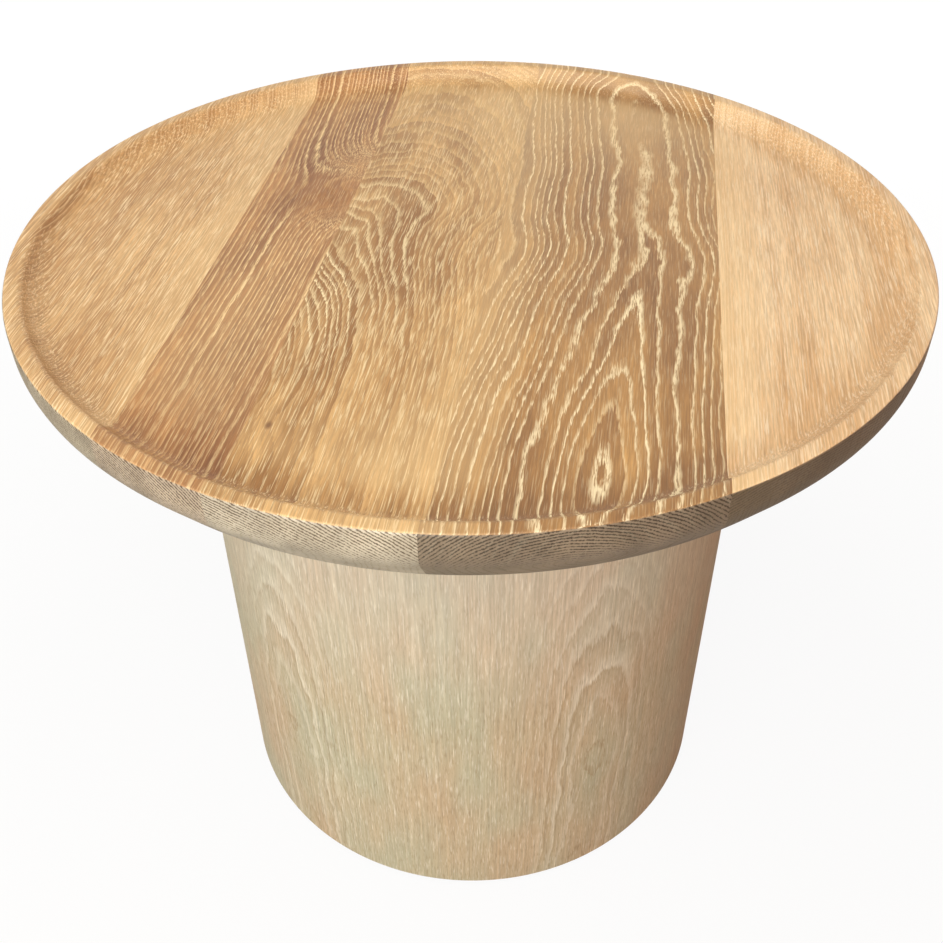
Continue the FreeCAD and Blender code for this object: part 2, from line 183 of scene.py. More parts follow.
def add_node(tree, kind, *inputs, out=0, **settings):
    """Add a node with its settings, fill its inputs with values or links and return one of its outputs.

    A kind is a type, or a type and its usual settings.  Inputs come in the order in which the node shows
    them, or by name in a dictionary.  A list is several links, and text is the hex code of a colour.
    """
    kind, usual = kind if isinstance(kind, tuple) else (kind, {})
    made = tree.nodes.new(kind)
    for name, value in {**usual, **settings}.items():
        setattr(made, name, value)
    if inputs and isinstance(inputs[0], dict):
        pairs = [(made.inputs[name], value) for name, value in inputs[0].items()]
    else:
        pairs = zip([socket for socket in made.inputs if socket.enabled], inputs)
    for socket, value in pairs:
        links = value if isinstance(value, list) else [value]
        if isinstance(links[0], bpy.types.NodeSocket):
            for link in links:
                tree.links.new(link, socket)
        else:
            socket.default_value = linear(value) if isinstance(value, str) else value
    if isinstance(out, str):
        return made.outputs[out]
    shown = [socket for socket in made.outputs if socket.enabled]
    return shown[out] if shown else None


def new_material(name):
    """Empty node material, the adder of its nodes, and the place of each point of the piece."""
    material = bpy.data.materials.new(name)
    material.use_nodes = True
    material.node_tree.nodes.clear()
    node = partial(add_node, material.node_tree)
    return material, node, node("ShaderNodeTexCoord", out="Object")


def surface(node, colour, roughness, height, strength, depth_mm, more):
    """Give the material one shader with its colour, roughness, relief and whatever more it needs."""
    relief = node("ShaderNodeBump", {"Height": height, "Strength": strength, "Distance": depth_mm * MM})
    inputs = {"Base Color": colour, "Roughness": roughness, "Normal": relief, **more}
    shader = node("ShaderNodeBsdfPrincipled", inputs)
    node("ShaderNodeOutputMaterial", {"Surface": shader})


def streaks(node, place, across, along, seed, levels=None, detail=2.0):
    """Noise drawn out along the grain: across and along are the sizes of one streak in millimetres.

    levels, where given, are the two noise values to stretch between, and what these become.
    """
    size = (1 / (across * MM), 1 / (along * MM), 1 / (across * MM))
    spread = node(MAPPING, {"Vector": place, "Location": (seed, seed * 0.7, -seed), "Scale": size})
    shape = {"Vector": spread, "Scale": 1.0, "Detail": detail, "Roughness": 0.55}
    noise = node("ShaderNodeTexNoise", shape)
    return node(RANGE, noise, *levels) if levels else noise


def limed_oak(name, latewood, dark, lime, seed, lines, width, flecks, ends, wander, jag=6.0, knot=None):
    """Solid oak with its open pores limed and a satin lacquer over it.

    The eye sees a pale ragged line where each ring's coarse pores hold the lime, tan wood that darkens
    up to the next line, fine fibres and flecks along the grain, and greyer wood with dark rings where the
    edge cuts the fibres.
    """
    material, node, place = new_material(name)
    rings, slope, tone, clear, edge, shade, end_rings = (
        node("ShaderNodeAttribute", out="Fac", attribute_name=trait)
        for trait in ("rings", "slope", "tone", "figure", "edge", "shade", "end_rings"))
    # Wet and dry years come in turns, so rings widen and narrow
    count = rings
    for swell, years, start in ((0.6, 2.3, 0.0), (0.3, 0.9, 1.0)):
        wave = node(SINE, node(TIMES_PLUS, rings, 1 / years, start))
        count = node(TIMES_PLUS, wave, swell, count)
    # Rings stray over some 20 mm
    broad = streaks(node, place, 14, 40, seed)
    strayed = node(TIMES_PLUS, broad, 2 * wander, count)
    # Single vessels run on past a ring's edge, which frays it along the grain
    fray = streaks(node, place, 0.7, 18, seed + 5, (0.25, 0.75, -jag, jag), detail=3.0)
    frayed = node(TIMES_PLUS, fray, slope, strayed)
    ripples = streaks(node, place, 1.5, 12, seed + 3)
    rippled = node(TIMES_PLUS, ripples, 0.12, frayed)
    share = node(FRACT, rippled)
    vigour = node("ShaderNodeTexWhiteNoise", node(FLOOR, rippled), noise_dimensions="1D")
    strong = node(RANGE, vigour, 0, 1, 0.4 * lines, lines)
    strength = node(TIMES, strong, clear)
    # Single vessels are 0.3 mm wide; they are drawn 0.8 mm wide so that they show in the picture
    vessels = streaks(node, place, 0.8, 9, seed + 11)
    vessel = node(RANGE, vessels, 0.45, 0.55)
    opening = node(RANGE, share, 0, 0.08)
    core = node(RANGE, share, 0.4 * width, width, 1, 0)
    whole = node(RANGE, vessels, 0.38, 0.5, 0.15, 1)
    broken_core = node(TIMES, core, whole)
    tail = node(RANGE, share, 0.25, 0.65, 1, 0)
    crossing = node(RANGE, node(ABSOLUTE, slope), 0.03, 0.1)
    broken_tail = node(TIMES, node(TIMES, tail, crossing), vessel)
    either = node(MAXIMUM, broken_core, broken_tail)
    opened = node(TIMES, either, opening)
    limed = node(TIMES, opened, strength, use_clamp=True)
    # Wood between the lines: a little darker towards the next, with its own tone in each ring and over 60 mm
    late = node(RANGE, share, 0.3, 1, 0, 0.15)
    drift = streaks(node, place, 30, 110, seed + 17, (0.35, 0.65, 0.1, 0.55))
    year = node(TIMES_PLUS, vigour, 0.4, drift)
    aged = node(PLUS, late, year)
    # The tone's negative part darkens the wood: dark patches, and painted shade in the cove
    dark_share = node(TIMES, tone, -0.6, use_clamp=True)
    darker = node(PLUS, aged, dark_share, use_clamp=True)
    wood = node(MIX, darker, latewood, dark)
    fibres = streaks(node, place, 0.8, 18, seed + 23, detail=3.0)
    fibre = node(RANGE, fibres, 0.3, 0.7, 0.78, 1.18)
    fibred = node(SCALE, wood, fibre)
    speck = streaks(node, place, 0.8, 10, seed + 31, (0.54, 0.64, 0, flecks))
    dash = streaks(node, place, 0.8, 20, seed + 37, (0.55, 0.64, 0, 1.3 * flecks))
    # Sapwood is paler, as the board's tone says
    sapwood = node(TIMES, tone, 0.6, use_clamp=True)
    layers = [(speck, dark), (dash, lime), (limed, lime), (sapwood, "F0D09A")]
    if knot:
        # A pin knot: a dark speck, longer along the grain
        flat = 0.6
        level = node(STRETCH, place, (1, flat, 0))
        middle = (knot[0] * MM, flat * knot[1] * MM, 0)
        away = node(DISTANCE, level, middle)
        layers.append((node(RANGE, away, 0.8 * MM, 2.6 * MM, 0.75, 0), "6B4526"))
    toned = fibred
    for cover, colour in layers:
        toned = node(MIX, cover, toned, colour)
    # Cut ends drink the finish: silver grey between thin dark rings
    from_line = node(PINGPONG, node(TIMES_PLUS, broad, 1.2, end_rings), 0.5)
    grit = streaks(node, place, 1.2, 1.2, seed + 41, detail=4.0)
    end_line = node(PLUS, grit, from_line)
    # The end-grain rings fade out where the undercut carries painted shade
    faded = node(TIMES_PLUS, shade, -0.7, end_line)
    ringed = node(RANGE, faded, -0.12, 0.1)
    ring_dark, ring_pale = ends
    # Painted sheen: broad patches of the cut ends are paler or darker, for the lacquer's silvery gloss
    painted_sheen = streaks(node, place, 24, 24, seed + 47, (0.35, 0.65, 0.72, 1.15))
    sheened_ends = node(SCALE, linear(ring_pale)[:3], painted_sheen)
    end_grain = node(MIX, ringed, ring_dark, sheened_ends)
    end_share = node(TIMES, edge, 0.9)
    ended = node(MIX, end_share, toned, end_grain)
    # Painted shade darkens the undercut
    shaded = node(SCALE, ended, shade)
    dullness = node(RANGE, opened, 0, 1, 0.42, 0.62)
    relief = node(MINUS, fibres, opened)
    surface(node, shaded, dullness, relief, 0.12, 0.2, {"IOR": 1.5})
    return material


def oak_veneer(name):
    """Crown-cut oak veneer, bleached and satin.

    The eye sees grey-beige wood that turns pinkish in places, faint flame-shaped rings, and short dark and
    pale pores that stand upright all over it.
    """
    material, node, place = new_material(name)
    upright = node(MAPPING, {"Vector": place, "Rotation": (math.pi / 2, 0, 0)})
    rings, crossing, clear = (node("ShaderNodeAttribute", out="Fac", attribute_name=trait)
                              for trait in ("rings", "slope", "figure"))
    broad = streaks(node, upright, 22, 50, 2)
    strayed = node(TIMES_PLUS, broad, 1.6, rings)
    fray = streaks(node, upright, 1, 26, 3, (0.25, 0.75, -7, 7))
    frayed = node(TIMES_PLUS, fray, crossing, strayed)
    share = node(FRACT, frayed)
    vigour = node("ShaderNodeTexWhiteNoise", node(FLOOR, frayed), noise_dimensions="1D")
    opening = node(RANGE, share, 0, 0.12)
    closing = node(RANGE, share, 0.15, 0.55, 1, 0)
    porous = node(TIMES, opening, closing)
    strength = node(TIMES, vigour, clear)
    drift = streaks(node, upright, 50, 130, 9, (0.35, 0.65))
    wood = node(MIX, drift, "B4AA8B", "BCA27F")
    band = node(TIMES, node(TIMES, porous, strength), 0.6)
    closed = node(RANGE, share, 0.78, 0.98, 0, 0.7)
    outline = node(TIMES, closed, strength)
    # Vessels are 0.3 mm wide; they are drawn 0.9 mm wide so that they show in the picture
    vessels = streaks(node, upright, 0.9, 10, 21)
    pores = node(RANGE, vessels, 0.53, 0.68, 0, 0.45)
    glint = streaks(node, upright, 0.9, 14, 27, (0.56, 0.7, 0, 0.42))
    # Painted light: the upper part of the drum is paler and greyer, as more light reaches it
    height = node("ShaderNodeSeparateXYZ", place, out="Z")
    painted_top_light = node(RANGE, height, 0.2, DRUM_TOP, 0, 0.42)
    for cover, colour in ((band, "EADFC6"), (outline, "97794F"), (pores, "957B54"), (glint, "EFE6D0"),
                          (painted_top_light, "E8E2D2")):
        wood = node(MIX, cover, wood, colour)
    fibre = streaks(node, upright, 1.2, 60, 33, (0.3, 0.7, 0.84, 1.14), detail=3.0)
    fibred = node(SCALE, wood, fibre)
    dullness = node(RANGE, pores, 0, 1, 0.42, 0.7)
    surface(node, fibred, dullness, vessels, 0.15, 0.15, {"IOR": 1.5})
    return material


def plywood(name, layer_mm, round_drum):
    """Sanded birch plywood: pale faces, and edges that show plies of light and dark wood in turn."""
    material, node, place = new_material(name)
    if round_drum:
        depth = node(REACH, node(STRETCH, place, (1, 1, 0)))
    else:
        depth = node("ShaderNodeSeparateXYZ", place, out="Z")
    share = node(FRACT, node(TIMES, depth, 0.5 / (layer_mm * MM)))
    ply = node(RANGE, share, 0.48, 0.52)
    turned = node(MAPPING, {"Vector": place, "Rotation": (0, 0, math.pi / 2)})
    along = streaks(node, place, 1.4, 30, 2, detail=3.0)
    across = streaks(node, turned, 1.4, 30, 8, detail=3.0)
    grain = node(MIX, ply, along, across, data_type="FLOAT")
    light = node(MIX, grain, "DDBE90", "C7A271")
    dark = node(MIX, grain, "B48C5C", "A27B4E")
    wood = node(MIX, ply, light, dark)
    surface(node, wood, 0.62, grain, 0.15, 0.2, {"IOR": 1.5})
    return material


def planed_wood(name, pale, dark, ring_mm, upright):
    """Planed bare timber: rings that show as straight lines along it and arcs on its ends, with fibres."""
    material, node, place = new_material(name)
    turn = (math.pi / 2, 0, 0) if upright else (0, 0, 0)
    lengthwise = node(MAPPING, {"Vector": place, "Rotation": turn})
    flat = node(STRETCH, place, (1, 1, 0) if upright else (1, 0, 1))
    reach = node(DISTANCE, flat, PITH)
    broad = streaks(node, lengthwise, 15, 400, 4)
    count = node(TIMES_PLUS, reach, 1 / (ring_mm * MM), broad)
    share = node(FRACT, count)
    late = node(RANGE, share, 0.35, 0.95)
    fibre = streaks(node, lengthwise, 0.8, 24, 12, detail=3.0)
    wood = node(MIX, late, pale, dark)
    tone = node(RANGE, fibre, 0, 1, 0.86, 1.14)
    fibred = node(SCALE, wood, tone)
    surface(node, fibred, 0.6, fibre, 0.15, 0.2, {"IOR": 1.5})
    return material


def zinc_plate(name):
    """Bright zinc on cold-headed steel: a bluish metal with soft cloudy patches and fine scratches."""
    material, node, place = new_material(name)
    clouds = streaks(node, place, 3, 3, 6, detail=4.0)
    colour = node(MIX, clouds, "C9CCD0", "A9ACB0")
    scratches = streaks(node, place, 0.3, 6, 14)
    dullness = node(RANGE, scratches, 0, 1, 0.22, 0.45)
    surface(node, colour, dullness, scratches, 0.1, 0.05, {"Metallic": 1.0})
    return material


def wool_felt(name):
    """Pressed wool felt: dark mixed fibres with no weave, soft and without gloss."""
    material, node, place = new_material(name)
    fibres = streaks(node, place, 0.7, 2.4, 5, detail=5.0)
    grey = node(MIX, fibres, "4A443E", "8A8177")
    tufts = streaks(node, place, 5, 5, 15, (0, 1, 0.8, 1.2))
    mixed = node(SCALE, grey, tufts)
    surface(node, mixed, 0.95, fibres, 0.6, 0.5, {"Sheen Weight": 0.3, "Sheen Roughness": 0.5})
    return material


# Inputs for the places of the four screws, and those inputs of any tree that are not plain numbers
GRID_INPUTS = ("Across", "Along", "Level")
SOCKET_KINDS = {"Profile": "Object", "Segments": "Int", "Count": "Int", "Material": "Material"}


def new_tree(name, *titles):
    """Geometry tree with named inputs and a material, the adder of its nodes, and its inputs."""
    tree = bpy.data.node_groups.new(name, "GeometryNodeTree")
    tree.interface.new_socket("Geometry", in_out="OUTPUT", socket_type="NodeSocketGeometry")
    for title in (*titles, "Material"):
        kind = SOCKET_KINDS.get(title, "Float")
        tree.interface.new_socket(title, in_out="INPUT", socket_type=f"NodeSocket{kind}")
    return tree, partial(add_node, tree), tree.nodes.new("NodeGroupInput").outputs


def close_tree(node, geometry, entry):
    """End a tree in real geometry with its material."""
    real = node("GeometryNodeRealizeInstances", {"Geometry": geometry})
    dressed = node("GeometryNodeSetMaterial", {"Geometry": real, "Material": entry["Material"]})
    node("NodeGroupOutput", {"Geometry": dressed})


def put(name, data):
    """New object in the scene."""
    made = bpy.data.objects.new(name, data)
    bpy.context.scene.collection.objects.link(made)
    return made


def grow(name, tree, values):
    """Run a geometry tree with named values and keep its result as a plain mesh piece at the origin."""
    piece = put(name, bpy.data.meshes.new(name))
    step = piece.modifiers.new("shape", "NODES")
    step.node_group = tree
    for item in tree.interface.items_tree:
        if item.in_out == "INPUT":
            step[item.identifier] = values[item.name]
    shown = piece.evaluated_get(bpy.context.evaluated_depsgraph_get())
    mesh = bpy.data.meshes.new_from_object(shown)
    piece.modifiers.remove(step)
    piece.data = mesh
    mesh.name = name
    if not mesh.polygons:
        raise RuntimeError(f"{name} came out empty")
    mesh.shade_smooth()
    mesh.set_sharp_from_angle(angle=SHARP_ANGLE)
    return piece


def settle(piece, slot, *nodes):
    """Let a piece stand for its CAD nodes and ride on the table."""
    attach(piece, BODY)
    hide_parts(*nodes)


def write_traits(piece, **columns):
    """Store numbers for each point of a piece, under their names."""
    for name, values in columns.items():
        layer = piece.data.attributes.new(name, "FLOAT", "POINT")
        layer.data.foreach_set("value", np.asarray(values, np.float32))


def points_mm(piece):
    """Points of a piece in millimetres, as three columns."""
    flat = np.empty(len(piece.data.vertices) * 3, np.float32)
    piece.data.vertices.foreach_get("co", flat)
    return (flat.reshape(-1, 3).astype(float) / MM).T


def outline_curve(name, corners, step, closed=False):
    """Curve object through corners of (x, z, rounding), with points every step along its straight runs.

    A sweep round +Z stands the profile on its head, so its heights are written downwards.
    """
    stops = []
    ends = corners[1:] + corners[:1] if closed else corners[1:]
    for here, there in zip(corners, ends):
        stops.append(here)
        wide, high = there[0] - here[0], there[1] - here[1]
        parts = max(1, round(math.hypot(wide, high) / step))
        for part in range(1, parts):
            stops.append((here[0] + wide * part / parts, here[1] + high * part / parts, 0.0))
    if not closed:
        stops.append(corners[-1])
    curve = bpy.data.curves.new(name, "CURVE")
    curve.dimensions = "3D"
    line = curve.splines.new("POLY")
    line.use_cyclic_u = closed
    line.points.add(len(stops) - 1)
    for point, (x, y, rounding) in zip(line.points, stops):
        point.co = (x, -y, 0.0, 1.0)
        point.radius = rounding
    return put(name, curve)


def turning_tree(sawn):
    """Tree that turns a rounded profile about Z: a full turn sawn down to one board, or part of a turn."""
    limits = ("Left", "Right") if sawn else ("Start", "Sweep")
    name = "sawn_turning" if sawn else "turning"
    tree, node, entry = new_tree(name, "Profile", "Radius", "Segments", *limits)
    line = node("GeometryNodeObjectInfo", {"Object": entry["Profile"]}, out="Geometry")
    rounding = {"Radius": node("GeometryNodeInputRadius"), "Count": EASE_POINTS, "Limit Radius": True}
    eased = node(FILLET, {"Curve": line, **rounding})
    plain = node("GeometryNodeSetCurveRadius", {"Curve": eased, "Radius": 1.0})
    round_path = {"Resolution": entry["Segments"], "Radius": entry["Radius"]}
    if sawn:
        path = node(CIRCLE, round_path)
    else:
        part = {"Start Angle": entry["Start"], "Sweep Angle": entry["Sweep"]}
        path = node("GeometryNodeCurveArc", {**round_path, **part})
    swept = node(SWEEP, {"Curve": path, "Profile Curve": plain, "Fill Caps": not sawn})
    joined = node("GeometryNodeMergeByDistance", {"Geometry": swept, "Distance": WELD})
    whole = node("GeometryNodeFlipFaces", {"Mesh": joined})
    if sawn:
        sides = (entry["Right"], entry["Left"])
        width = node(MINUS, *sides)
        span = node(PLUS, *sides)
        middle = node(TIMES, span, 0.5)
        # The saw's blank is a metre long and high, more than the top, and is centred near its height
        size = node(XYZ, width, 1.0, 1.0)
        shift = node(XYZ, middle, 0.0, 0.4)
        block = node("GeometryNodeMeshCube", {"Size": size})
        blank = node(MOVE, {"Geometry": block, "Translation": shift})
        both = {"Mesh 2": [whole, blank]}
        whole = node("GeometryNodeMeshBoolean", both, operation="INTERSECT", solver="EXACT")
    close_tree(node, whole, entry)
    return tree


def smooth_through(places, values, at):
    """Smooth line that has these values at these places, read at many places."""
    places, values = np.array(places, float), np.array(values, float)
    slopes = np.gradient(values, places)
    index = np.clip(np.searchsorted(places, at) - 1, 0, len(places) - 2)
    width = places[index + 1] - places[index]
    share = np.clip((at - places[index]) / width, 0, 1)
    rest = 1 - share
    first = (1 + 2 * share) * rest ** 2 * values[index] + share * rest ** 2 * width * slopes[index]
    last = share ** 2 * (3 - 2 * share) * values[index + 1] - share ** 2 * rest * width * slopes[index + 1]
    return first + last


def spots(points, places):
    """Spots on the top that fade out from their middles: each is (x, y, across, along, strength)."""
    x, y, _ = points
    total = np.zeros_like(x)
    for spot_x, spot_y, across, along, strength in places:
        total += strength * np.exp(-((x - spot_x) / across) ** 2 - ((y - spot_y) / along) ** 2)
    return total


def ring_count(points, board, tray):
    """Growth rings between the pith and each point, for a pith that wanders under the board.

    pith holds (y, x, depth under the tray) in millimetres, and ring is the mean width of one ring.
    """
    x, y, z = points
    along, across, below = zip(*board["pith"])
    pith_x = smooth_through(along, across, y)
    depth = smooth_through(along, below, y)
    # Rings are round, or squarer where the tree grew beside another
    power = board.get("squareness", 2)
    reach = (np.abs(x - pith_x) ** power + np.abs(depth + z - tray) ** power) ** (1 / power)
    # A knot beyond the board pushes the rings aside
    return spots(points, board.get("knots", ())) + reach / board["ring"]


def figure_strength(points, board):
    """How clearly the lines of the rings stand out, from plain wood at none to full."""
    return np.clip(board.get("figure", 1.0) + spots(points, board.get("clearer", ())), 0, 1)


def board_tone_and_shade(points, board):
    """Pale sapwood along a board's edge, dark patches, and painted shade in the foot of the cove."""
    x, y, _ = points
    from_axis = np.maximum(np.hypot(x, y), 1)
    # Painted shade at the foot of the cove at the front, where the fibres are cut
    foot, inward, outward = 273, 16, 7
    reach = (from_axis - foot) / np.where(from_axis < foot, inward, outward)
    tone = -0.75 * np.exp(-reach ** 2) * np.clip(-y / from_axis, 0, 1) ** 2
    # Painted shade in the hollow at the right
    hollow, spread = 277, 12
    rightward = np.clip((0.97 * x + 0.25 * y) / from_axis, 0, 1)
    tone -= np.exp(-((from_axis - hollow) / spread) ** 2) * rightward
    for edge, width, strength in board.get("sapwood", ()):
        tone += strength * np.clip(1 - np.abs(x - edge) / width, 0, 1) ** 0.5
    return tone + spots(points, board.get("patches", ()))


def cut_ends_and_shade(points, radius):
    """How squarely the outer edge cuts the fibres, from none at the sides to full at front and back."""
    x, y, z = points
    lip = TABLE_TOP / MM
    from_axis = np.hypot(x, y)
    # The edge begins under the lip's rounding; only the undercut, below the tray, lies further in
    rounding, below_tray = 0.5, 15
    upright = (z < lip - rounding) & (from_axis > radius - 1)
    undercut = (z < lip - below_tray) & (from_axis > radius - EDGE_BAND)
    # Stretched so the end grain reaches far round to the sides: partly painted shade on the edge's right
    return (upright | undercut) * np.clip(np.abs(y) / np.maximum(from_axis, 1) * 2.4 - 0.1, 0, 1)


def undercut_shade(points, sizes):
    """Painted shade: the undercut is darker, most towards its foot."""
    x, y, z = points
    bend = (DRUM_TOP + sizes.undercut_height) / MM
    blur, loss = 11, 0.42
    below = np.clip((bend + blur - z) / (2 * blur), 0, 1)
    return 1 - loss * below * (np.hypot(x, y) > sizes.radius / MM - EDGE_BAND)


# Each board's own tree, from left to right: where its pith ran, the width of its rings and its colours.
# knots, clearer and patches are spots of swerving rings, of clearer figure and of paler or darker tone.
# sapwood is (edge, width, strength), and ends is the pith of the cut ends, as x and the depth under the lip
# Cut-end colours are partly painted: painted sheen on the middle board, painted shade on the two at the
# right
BOARDS = [
    {   # Quarter-sawn, fine straight lines, sapwood towards the next board
        "pith": [(-320, -620, 60), (0, -626, 60), (320, -618, 60)], "ring": 2.2, "ends": (-250, 100),
        "sapwood": [(-164, 26, 0.5)],
        "patches": [(-200, -190, 40, 50, -0.3), (-258, 0, 18, 110, -0.5)],
        "oak": dict(latewood="E0B982", dark="B08350", lime="FAE4B8", ends=("382E22", "A79C86"),
                    seed=1.3, lines=0.5, width=0.4, flecks=0.45),
    },
    {   # Brown heartwood with dense limed lines that swerve into the right joint
        "pith": [(-320, 196, 40), (0, 204, 40), (320, 190, 40)], "ring": 3.7, "ends": (-200, 120),
        "knots": [(-80, 75, 40, 45, 17)],
        "clearer": [(-112, 54, 38, 30, -1.2), (-130, -225, 60, 80, -0.6)],
        "patches": [(-125, 40, 28, 30, -0.5), (-120, 160, 40, 70, -0.35), (-130, -150, 40, 120, 0.25)],
        "oak": dict(latewood="C6925A", dark="82532A", lime="F4D8A4", ends=("382A1E", "B2A189"), wander=0.25,
                    seed=4.1, lines=1.0, width=0.42, flecks=0.25),
    },
    {   # Half a cathedral against the left joint, then plain straight grain
        "pith": [(-320, -128, 6), (-250, -128, 6), (-190, -128, 8), (-150, -128, 16), (-110, -128, 30),
                 (-70, -127, 48), (-20, -122, 72), (15, -108, 86), (50, -84, 99), (90, -70, 112),
                 (150, -64, 128), (320, -62, 160)], "ring": 4.3, "ends": (-127, 200),
        "sapwood": [(18, 48, 0.45)], "figure": 0.3,
        "knots": [(-80, -213, 13, 22, 2)],
        "clearer": [(-75, -50, 60, 130, 0.8), (-70, -220, 45, 55, -0.5)],
        "patches": [(-50, -40, 60, 110, -0.9), (-40, -235, 60, 50, 0.35), (-40, 235, 60, 70, 0.35)],
        "oak": dict(latewood="DEB479", dark="966A38", lime="F8E4B6", ends=("463827", "C2B69E"), wander=0.7,
                    seed=7.7, lines=1.0, width=0.42, flecks=0.4, jag=2.0, knot=(-80, -213)),
    },
    {   # Flat-sawn cathedral that opens to the front
        "pith": [(-320, 98, 20), (-270, 100, 13), (-226, 102, 10.5), (-175, 104, 17), (-135, 108, 21.9),
                 (-70, 113, 26.4), (10, 122, 31.4), (40, 116, 32.4), (85, 114, 32.7), (125, 115, 32.8),
                 (175, 110, 33), (240, 104, 33.2), (320, 99, 33.4)], "ring": 5.4, "ends": (88, 75),
        "squareness": 1.6, "sapwood": [(18, 34, 0.45)],
        "patches": [(100, 240, 70, 90, 0.65)],
        "oak": dict(latewood="C5985D", dark="8A6238", lime="FAE8BE", ends=("16100A", "857560"), jag=8.0,
                    seed=9.2, lines=1.0, width=0.32, flecks=0.14),
    },
    {   # Palest, with short flecks, and sapwood towards the board before
        "pith": [(-320, 640, 60), (0, 645, 60), (320, 638, 60)], "ring": 2.5, "ends": (210, 120),
        "sapwood": [(166, 28, 0.7)],
        "patches": [(230, -160, 50, 50, -0.3)],
        "oak": dict(latewood="F0D2A6", dark="CBA170", lime="FFF0D2", ends=("1A140D", "574A38"),
                    seed=12.6, lines=0.3, width=0.4, flecks=0.28),
    },
]


class TABLE_OT_top_boards(bpy.types.Operator):
    """Turn the dished top and saw it into its five oak boards"""

    bl_idname = "side_table.top_boards"
    bl_label = "Top Boards"

    def execute(self, context):
        sizes = context.scene.side_table_top
        tray = TABLE_TOP - sizes.tray_depth
        profile = outline_curve("top_profile", self.corners(sizes, tray), TOP_STEP)
        tree = turning_tree(sawn=True)
        for number, (node, board) in enumerate(zip(BOARD_NODES, BOARDS), start=1):
            low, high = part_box(node)
            oak = limed_oak(f"limed_oak_board_{number}", **{"wander": sizes.ring_wander, **board["oak"]})
            piece = grow(f"oak_board_{number}", tree, {
                "Profile": profile, "Radius": sizes.radius, "Segments": TOP_SEGMENTS,
                "Left": low.x - SAW_MARGIN * (number == 1),
                "Right": high.x + SAW_MARGIN * (number == len(BOARDS)), "Material": oak})
            points = points_mm(piece)
            rings = ring_count(points, board, tray / MM)
            further_along = points + np.array([[0], [1], [0]])
            end_x, end_depth = board["ends"]
            write_traits(
                piece, rings=rings, slope=ring_count(further_along, board, tray / MM) - rings,
                tone=board_tone_and_shade(points, board), figure=figure_strength(points, board),
                edge=cut_ends_and_shade(points, sizes.radius / MM), shade=undercut_shade(points, sizes),
                end_rings=np.hypot(points[0] - end_x, points[2] - TABLE_TOP / MM + end_depth) / END_RING)
            settle(piece, f"oak_board_{number}", node)
        bpy.data.objects.remove(profile)
        return {"FINISHED"}

    def corners(self, sizes, tray):
        """Profile from the middle of the underside round the edge and the lip to the middle of the tray."""
        # A hollow that runs into a round without a corner
        run = math.sqrt(sizes.tray_depth * (2 * sizes.cove_radius - sizes.tray_depth))
        foot = -sizes.lip_width - run
        rounds = sizes.cove_radius + sizes.inner_ease
        turn = math.acos(1 - sizes.tray_depth / rounds)
        lip = foot + rounds * math.sin(turn)
        climbs = [turn * part / COVE_PARTS for part in range(COVE_PARTS + 1)]
        bows = [(foot, tray, sizes.cove_radius), (lip, TABLE_TOP, -sizes.inner_ease)]
        cove, roll = ([(x + bow * math.sin(angle), z + bow * (1 - math.cos(angle)), 0.0) for angle in climbs]
                      for x, z, bow in bows)
        # The edge swings into the undercut on one round
        lean = math.atan2(sizes.undercut_inset, sizes.undercut_height)
        bend = DRUM_TOP + sizes.undercut_height + sizes.belly_radius * math.tan(lean / 2)
        falls = [lean * (1 - part / BELLY_PARTS) for part in range(BELLY_PARTS + 1)]
        bow = sizes.belly_radius
        belly = [(bow * (math.cos(angle) - 1), bend - bow * math.sin(angle), 0.0) for angle in falls]
        return [
            (-sizes.radius, DRUM_TOP, 0.0),
            (-sizes.undercut_inset, DRUM_TOP, sizes.arris_ease),
            *belly,
            (0.0, TABLE_TOP, sizes.outer_ease),
            *roll[:-1],
            *reversed(cove),
            (-sizes.radius, tray, 0.0),
        ]


def leaf_rings(arc, height):
    """Growth rings on a crown-cut leaf, in flames that point up, from places on it in millimetres."""
    # The cut lies nearest to the pith at the foot and climbs away from it; the pith sways to and fro
    nearest, climb, climb_from, ring = 14, 0.2, 140, 6.5
    depth = nearest + climb * np.maximum(height - climb_from, 0) + 4 * np.sin(height / 47)
    sway = 8 * np.sin(height / 130)
    count = np.hypot(arc - FLAME_OFFSET - sway, depth) / ring
    # Rings widen and narrow in turns
    return count + 0.7 * np.sin(count / 1.9)


def leaf_figure(arc):
    """How clearly a leaf's rings stand out: fully in the flames, and faintly beside them."""
    beside, flame_width = 0.25, 36
    return beside + (1 - beside) * np.exp(-((arc - FLAME_OFFSET) / flame_width) ** 2)


class TABLE_OT_veneer_leaves(bpy.types.Operator):
    """Wrap the drum in six book-matched leaves of oak veneer"""

    bl_idname = "side_table.veneer_leaves"
    bl_label = "Veneer Leaves"

    def execute(self, context):
        sizes = context.scene.side_table_drum
        corners = [(0.0, DRUM_FOOT, 0.0), (0.0, DRUM_TOP, 0.0), (-sizes.veneer, DRUM_TOP, 0.0),
                   (-sizes.veneer, DRUM_FOOT, 0.0)]
        profile = outline_curve("leaf_profile", corners, LEAF_STEP, closed=True)
        tree = turning_tree(sawn=False)
        veneer = oak_veneer("crown_cut_oak_veneer")
        span = 2 * math.pi / len(LEAF_NODES)
        for number, node in enumerate(LEAF_NODES):
            start = -math.pi / 2 + number * span
            piece = grow(f"oak_leaf_{number + 1}", tree, {
                "Profile": profile, "Radius": sizes.radius, "Start": start, "Sweep": span,
                "Segments": LEAF_SEGMENTS, "Material": veneer})
            x, y, z = points_mm(piece)
            turned = (np.arctan2(y, x) - start - span / 2 + math.pi) % (2 * math.pi) - math.pi
            # Book-matched leaves show one figure and its mirror image in turn
            arc = turned * sizes.radius / MM * (1 if number % 2 == 0 else -1)
            rings = leaf_rings(arc, z)
            write_traits(piece, rings=rings, slope=leaf_rings(arc, z + 1) - rings, figure=leaf_figure(arc))
            settle(piece, "oak_veneer", node)
        bpy.data.objects.remove(profile)
        return {"FINISHED"}


